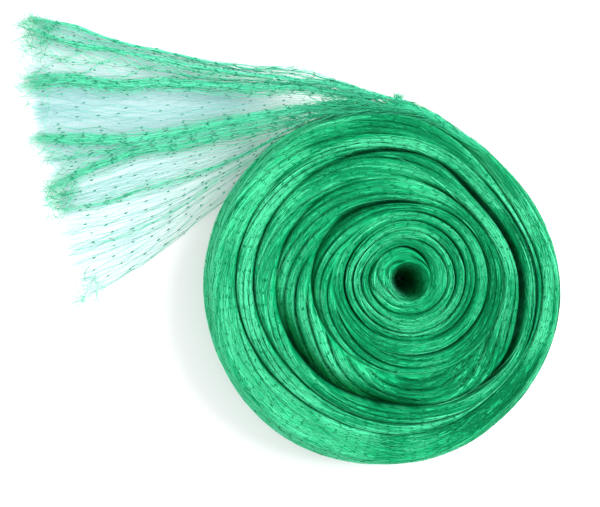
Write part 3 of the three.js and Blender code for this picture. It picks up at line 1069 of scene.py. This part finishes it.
def wound_net_knots(rng, material):
    """Knots on the top of the band and on its outer wall."""
    turn = turns_by_area(rng, *WOUND_KNOT_TURNS, WOUND_KNOTS)
    across = rng.uniform(*WOUND_KNOTS_ACROSS, WOUND_KNOTS)
    turn = knot_rows(turn, across * band_width(turn), rng)
    wall_start = BAND_TURNS - 1
    wall_turn = rng.uniform(wall_start + WALL_SEAM_TURNS, BAND_TURNS - WALL_SEAM_TURNS, WALL_KNOTS)
    down = lerp(*WALL_KNOTS_DOWN, rng.uniform(0, 1, WALL_KNOTS) ** WALL_CROWDING)
    wall_turn = np.clip(knot_rows(wall_turn, down * ROLL_HEIGHT, rng), wall_start, BAND_TURNS)
    turn = np.concatenate((turn, wall_turn))
    across = np.concatenate((across, np.ones(WALL_KNOTS)))
    down = np.concatenate((np.zeros(WOUND_KNOTS), down))
    centres = band_points(turn, across, down, WOUND_KNOT_LIFT)
    count = len(turn)
    ahead = np.stack((-centres[:, 1], centres[:, 0], np.zeros(count)), axis=1)
    lengths = rng.uniform(*WOUND_KNOT_LENGTHS, count)
    radii = rng.uniform(*WOUND_KNOT_RADII, count)
    tones = rng.uniform(0, 1, count)
    knot_piece("wound_net_knots", "netting_roll", material, centres, ahead, lengths, radii, tones)


def wound_net_strands(rng, material):
    """Strands on the top of the band, round its wall and in its hole."""
    makers = [(kind, top_strand_paths) for kind in TOP_STRANDS]
    makers += [(WALL_STRANDS, wall_strand_paths), (HOLE_STRANDS, hole_strand_paths)]
    for kind, make_paths in makers:
        paths, tones = make_paths(rng, kind)
        sides_apart = rng.normal(0, SIDE_TONE_SPREAD, (kind.count, kind.sides)) * (kind.sides > THIN_SIDES)
        tones = np.clip(tones + sides_apart, 0, 1)[:, None, :]
        strand_piece(kind.name, "netting_roll", material, paths, kind.radius, tones, kind.sides)


# Loose end


def strand_places(rng):
    """Where the strands lie across the loose end: the fold each belongs to, how far from it in folds,
    and which are gathered on it."""
    homes = []
    offsets = []
    gathered = []
    for index, fold in enumerate(FOLDS):
        homes.extend([index] * (fold.gathered + fold.open))
        offsets.extend(rng.triangular(-fold.before, 0, fold.after, fold.gathered))
        offsets.extend(np.arange(1, fold.open + 1) / (fold.open + 1))
        gathered.extend([True] * fold.gathered + [False] * fold.open)
    order = np.argsort(np.add(homes, offsets))
    return [np.array(column)[order][:, None] for column in (homes, offsets, gathered)]


FOLD_STEPS = np.linspace(0, 1, FOLD_POINTS)
FOLD_STRIDES = np.diff(np.stack([fold_curve(fold, FOLD_STEPS) for fold in FOLDS]), axis=1)
FOLD_LENGTHS = np.pad(np.cumsum(np.linalg.norm(FOLD_STRIDES, axis=2), axis=1), ((0, 0), (1, 0)))


def free_length(places):
    """Length of the loose end from the roll to the cut end, by place across it."""
    return np.interp(places, np.arange(len(FOLDS)), FOLD_LENGTHS[:, -1])


def along_folds(share, place):
    """Where on its folds a share of the sheet's free length lies."""
    by_fold = np.stack([np.interp(share, row / row[-1], FOLD_STEPS) for row in FOLD_LENGTHS])
    fold = row_below(place, LAST_FOLD - 1)
    column = np.arange(len(place))
    return lerp(by_fold[fold, column], by_fold[fold + 1, column], place - fold)


def net_points(from_end, place, lift):
    """Points of the loose net: distance from the cut end, and place across it in folds. What is longer
    than the free length runs on round the roll's outer wall and sinks into it. The upper folds leave
    the roll over its top edge."""
    length = free_length(place)
    share = 1 - from_end / length
    points = sheet_points(along_folds(np.maximum(share, 0), place) - np.minimum(1 - share, 0), place)
    folds = np.arange(len(FOLDS))
    stands_out = np.interp(place, folds, ROOT_STANDS_OUT)
    rise = np.interp(place, folds, ROOT_RISE)
    near_root = np.clip(1 - share, 0, 1) ** ROOT_POWER
    points = points + unit(points * (1, 1, 0)) * (stands_out * near_root)[:, None]
    points[:, 2] += rise * near_root + lift
    angle = np.interp(place, folds, [fold.angle for fold in FOLDS])
    height = np.interp(place, folds, [fold.height for fold in FOLDS]) + rise
    behind = np.minimum(share, 0) * length
    clearance = ROOT_CLEARANCE + stands_out + LIFT_BEHIND * lift + SINK_BEHIND * behind
    back = wall_points(angle + np.degrees(behind / ROLL_OUTSIDE), height, clearance)
    return np.where((share < 0)[:, None], back, points)


LooseStrands = namedtuple("LooseStrands", "gathered from_end place knot_place meets_next")


def loose_strands(rng):
    """The strands of the open net at its rows of knots. Each meets its neighbours by turns, and gathered
    strands are drawn in to their fold towards the cut end."""
    homes, offsets, gathered = strand_places(rng)
    count = len(homes)
    rows = np.arange(ROWS_OF_KNOTS)
    wander = either_way(ROW_WANDER, homes + offsets, 0.5)
    from_end = FIRST_ROW + (rows + wander) * BAR_LENGTH + rng.normal(0, ROW_SPREAD, (count, 1))
    reach = np.array([fold.drawn for fold in FOLDS])[homes]
    spread = lerp(DRAWN_IN, 1, smoothstep(from_end, FULLY_DRAWN * reach, reach))
    free = free_length(homes + 0.0) - from_end
    spread = spread * lerp(ROOT_SPREAD, 1, smoothstep(free, *ROOT_SPREAD_REACH))
    place = np.clip(homes + offsets * np.where(gathered, spread, 1), 0, LAST_FOLD)
    middle = (place[1:] + place[:-1]) / 2
    upper = np.concatenate((place[:1], middle))
    lower = np.concatenate((middle, place[-1:]))
    meets_next = (rows + np.arange(count)[:, None]) % 2 == 0
    meeting = np.where(gathered, 1, OPEN_MEETING)
    knot_place = lerp(place, np.where(meets_next, lower, upper), meeting)
    knot_place = knot_place + gathered * RIB_ZIGZAG * np.where(meets_next, 1, -1)
    return LooseStrands(gathered, from_end, place, knot_place, meets_next)


def loose_net_paths(rng, net):
    """Paths of the strands, with the distances of their points from the cut end and from the roll."""
    count = len(net.place)
    rows = np.arange(ROWS_OF_KNOTS)
    steps = np.linspace(0, ROWS_OF_KNOTS - 1, (ROWS_OF_KNOTS - 1) * POINTS_PER_BAR + 1)
    place = np.stack([np.interp(steps, rows, row) for row in net.knot_place])
    from_end = np.stack([np.interp(steps, rows, row) for row in net.from_end])
    from_end[:, 0] -= rng.uniform(0, FRAY, count)
    place[:, 0] += rng.normal(0, FRAY_SPREAD, count)
    place = np.clip(place, 0, LAST_FOLD)
    lift = LOOSE_LIFT + rng.uniform(0, FOLD_THICKNESS, (count, 1)) * net.gathered
    lift = np.repeat(lift, len(steps), axis=1)
    paths = net_points(from_end.ravel(), place.ravel(), lift.ravel()).reshape(count, len(steps), 3)
    sway = either_way(SWAY, from_end, place)
    fuzz = either_way(FUZZ, from_end, np.arange(count)[:, None])
    from_roll = free_length(place) - from_end
    paths[:, :, 1] += (sway + net.gathered * fuzz) * np.clip(from_roll / SWAY_FROM_ROLL, 0, 1)
    paths[:, :, 2] = np.maximum(paths[:, :, 2], GATHERED_RADIUS)
    return paths, from_end, from_roll


def loose_net_tones(rng, net, from_end, from_roll):
    """Tones of the strands' points: open strands are paler, and the net is deeper by the roll."""
    count = len(net.place)
    tones = rng.normal(LOOSE_TONE, LOOSE_TONE_SPREAD, (count, 1))
    tones = tones + either_way(LOOSE_TONE_CHANGES, from_end, np.arange(count)[:, None])
    tones = np.where(net.gathered, tones, tones + OPEN_PALER)
    near_root = 1 - np.clip(from_roll / SWAY_FROM_ROLL, 0, 1)
    darker = np.where(from_roll < 0, BEHIND_ROOT_DARKER, ROOT_DARKER * net.gathered * near_root)
    return np.clip(tones - darker, 0, 1)


def loose_net_knots(rng, net, paths, material):
    """A knot where open strands meet, and at most rows of the gathered ones."""
    at_knots = paths[:, ::POINTS_PER_BAR]
    ahead = np.roll(at_knots, -1, axis=1) - at_knots
    ahead[:, -1] = ahead[:, -2]
    shown = net.from_end < free_length(net.place) + KNOTS_BEHIND_ROOT
    shown = shown & (np.arange(ROWS_OF_KNOTS) > 0)
    picked = rng.random(shown.shape) < np.where(net.gathered, RIB_KNOT_SHARE, 1.0)
    chosen = (net.meets_next | net.gathered) & shown & picked
    centres = at_knots[chosen]
    ahead = ahead[chosen]
    centres[:, 2] = np.maximum(centres[:, 2], LOOSE_KNOT_SIZES[1] * OPEN_KNOT_RADIUS)
    count = len(centres)
    lengths = rng.uniform(*LOOSE_KNOT_SIZES, count) * LOOSE_KNOT_LENGTH
    on_rib = np.broadcast_to(net.gathered, chosen.shape)[chosen]
    radii = rng.uniform(*LOOSE_KNOT_SIZES, count) * np.where(on_rib, RIB_KNOT_RADIUS, OPEN_KNOT_RADIUS)
    tones = rng.uniform(0, 1, count)
    return knot_piece("loose_net_knots", "loose_end", material, centres, ahead, lengths, radii, tones)


def loose_net(rng, material, knot_material):
    """The open net and its knots."""
    net = loose_strands(rng)
    paths, from_end, from_roll = loose_net_paths(rng, net)
    tones = loose_net_tones(rng, net, from_end, from_roll)
    bars = np.arange(paths.shape[1]) / POINTS_PER_BAR
    tip = lerp(STRAND_TIP, 1, smoothstep(bars, 0, TIP_BARS))
    radii = np.where(net.gathered, GATHERED_RADIUS, OPEN_RADIUS) * tip
    strands = strand_piece("loose_net", "loose_end", material, paths, radii, tones[:, :, None])
    return strands, loose_net_knots(rng, net, paths, knot_material)


def loose_net_veil(material):
    """The sheer cloth of the loose end, one thin sheet on its folds: fine net, and painted shade of the net
    on the floor.
    """
    bm = bmesh.new()
    strand_map = bm.loops.layers.uv.new("along_across")
    verts, along, across = add_grid(bm, VEIL_STEPS, LAST_FOLD * VEIL_ROWS_PER_FOLD)
    place = across * LAST_FOLD
    from_end = along * free_length(place)
    move(verts, net_points(from_end, place, np.full(len(verts), VEIL_THICKNESS)))
    strands = dict(zip(verts, zip(from_end, place)))
    for face in bm.faces:
        for loop in face.loops:
            loop[strand_map].uv = strands[loop.vert]
    bmesh.ops.solidify(bm, geom=bm.faces[:], thickness=VEIL_THICKNESS * MM)
    bmesh.ops.recalc_face_normals(bm, faces=bm.faces)
    return finish_piece(mesh_from(bm, "loose_net_veil"), material, "loose_end")


def fine_net(rng, material):
    """Finer layers of the net that lie under the open meshes."""
    places = np.concatenate([rng.uniform(index, index + 1, fold.fine) for index, fold in enumerate(FOLDS)])
    places = np.sort(places)
    count = len(places)
    rows = np.arange(FINE_ROWS)
    zigzag = np.where((rows[None, :] + np.arange(count)[:, None]) % 2 == 0, FINE_ZIGZAG, -FINE_ZIGZAG)
    place = np.clip(places[:, None] + zigzag, 0, LAST_FOLD)
    from_end = rows[None, :] * BAR_LENGTH + rng.uniform(*FINE_STARTS, (count, 1))
    paths = net_points(from_end.ravel(), place.ravel(), np.zeros(place.size)).reshape(*place.shape, 3)
    paths[:, :, 2] = np.maximum(paths[:, :, 2] * FINE_SAG, FINE_RADIUS)
    tones = rng.uniform(0, 1, (count, 1, 1))
    return strand_piece("loose_net_fine", "loose_end", material, paths, FINE_RADIUS, tones)


def curls(starts, headings, lengths, bends, rises):
    """Short free strands: each leaves its start on a heading and bends evenly along its length."""
    steps = np.linspace(0, 1, CURL_POINTS)
    heading = headings[:, None] + bends[:, None] * steps
    stride = (lengths / (CURL_POINTS - 1))[:, None, None]
    strides = np.stack((np.cos(heading), np.sin(heading)), axis=2) * stride
    plan = starts[:, None, :2] + np.cumsum(strides, axis=1) - strides[:, :1]
    height = np.maximum(starts[:, 2:] + rises[:, None] * steps, GATHERED_RADIUS)
    return np.concatenate((plan, height[:, :, None]), axis=2)


def cut_end_curls(rng, material):
    """Strands that curl loosely at the cut end."""
    place = np.concatenate([rng.normal(fold, spread, count) for fold, spread, count in TANGLES])
    place = np.clip(place, 0, LAST_FOLD)
    count = len(place)
    from_end = rng.uniform(*CURL_STARTS, count)
    lift = rng.uniform(*CURL_LIFTS, count)
    starts = net_points(from_end, place, lift)
    outward = net_points(from_end - CURL_STRIDE, place, lift) - starts
    headings = np.arctan2(outward[:, 1], outward[:, 0]) + rng.normal(0, CURL_TURN, count)
    lengths = rng.uniform(*CURL_LENGTHS, count)
    bends = rng.normal(0, CURL_BEND, count)
    paths = curls(starts, headings, lengths, bends, rng.uniform(*CURL_RISES, count))
    tones = rng.uniform(*CURL_TONES, (count, 1, 1))
    return strand_piece("loose_net_curls", "loose_end", material, paths, GATHERED_RADIUS, tones)


def root_tufts(rng, material):
    """Strands that stand loose where the net leaves the roll."""
    paths = []
    for row in TUFTS:
        angle = rng.uniform(row.first, row.last, row.count)
        height = rng.uniform(row.low, row.high, row.count)
        starts = wall_points(angle, height, rng.uniform(row.near, row.far, row.count))
        headings = np.radians(row.heading + angle - 90 + rng.normal(0, row.spread, row.count))
        lengths = rng.uniform(row.shortest, row.longest, row.count)
        bends = rng.normal(0, TUFT_BEND, row.count)
        paths.append(curls(starts, headings, lengths, bends, rng.uniform(*TUFT_RISES, row.count)))
    paths = np.concatenate(paths)
    tones = rng.uniform(*TUFT_TONES, (len(paths), 1, 1))
    return strand_piece("loose_net_tufts", "loose_end", material, paths, GATHERED_RADIUS, tones)


# Studio


def make_camera():
    camera = bpy.data.cameras.new("camera")
    camera.sensor_width = SENSOR_WIDTH
    camera.lens = SENSOR_WIDTH * CAMERA_HEIGHT / (PICTURE_WIDTH * MM_PER_PIXEL)
    holder = add_object(camera)
    holder.location = in_frame(np.array((*CAMERA_FROM_HOLE, CAMERA_HEIGHT)))
    bpy.context.scene.camera = holder


def make_floor():
    bm = bmesh.new()
    bmesh.ops.create_grid(bm, x_segments=1, y_segments=1, size=FLOOR_SIZE)
    mesh = mesh_from(bm, "floor")
    shader = Shader("floor")
    mesh.materials.append(shader.surface(Base_Color=FLOOR_COLOUR, Roughness=FLOOR_ROUGHNESS))
    floor = add_object(mesh)


def make_lights():
    for row in LAMPS:
        lamp = bpy.data.lights.new(row.name, "AREA")
        lamp.shape = "DISK"
        lamp.size = row.size
        lamp.energy = row.energy
        holder = add_object(lamp)
        holder.location = row.place
        direction = holder.location.normalized()
        holder.rotation_euler = direction.to_track_quat("Z", "Y").to_euler()
    world = bpy.data.worlds.new("studio")
    world.use_nodes = True
    background = world.node_tree.nodes["Background"]
    background.inputs["Color"].default_value = (1.0, 1.0, 1.0, 1.0)
    background.inputs["Strength"].default_value = STUDIO_LIGHT
    bpy.context.scene.world = world
    bpy.context.scene.view_settings.view_transform = "Standard"


make_camera()
make_floor()
make_lights()
chance = np.random.default_rng(SEED)
wound_net_body()
wound_net_strands(chance, strand_material(NET_STRAND))
wound_net_knots(chance, strand_material(WOUND_KNOT))
loose_green = strand_material(LOOSE_STRAND)
net, net_knots = loose_net(chance, loose_green, strand_material(LOOSE_KNOT))
fine = fine_net(chance, strand_material(FINE_STRAND))
veil = loose_net_veil(veil_and_shade_material())
curled = cut_end_curls(chance, loose_green)
tufts = root_tufts(chance, loose_green)
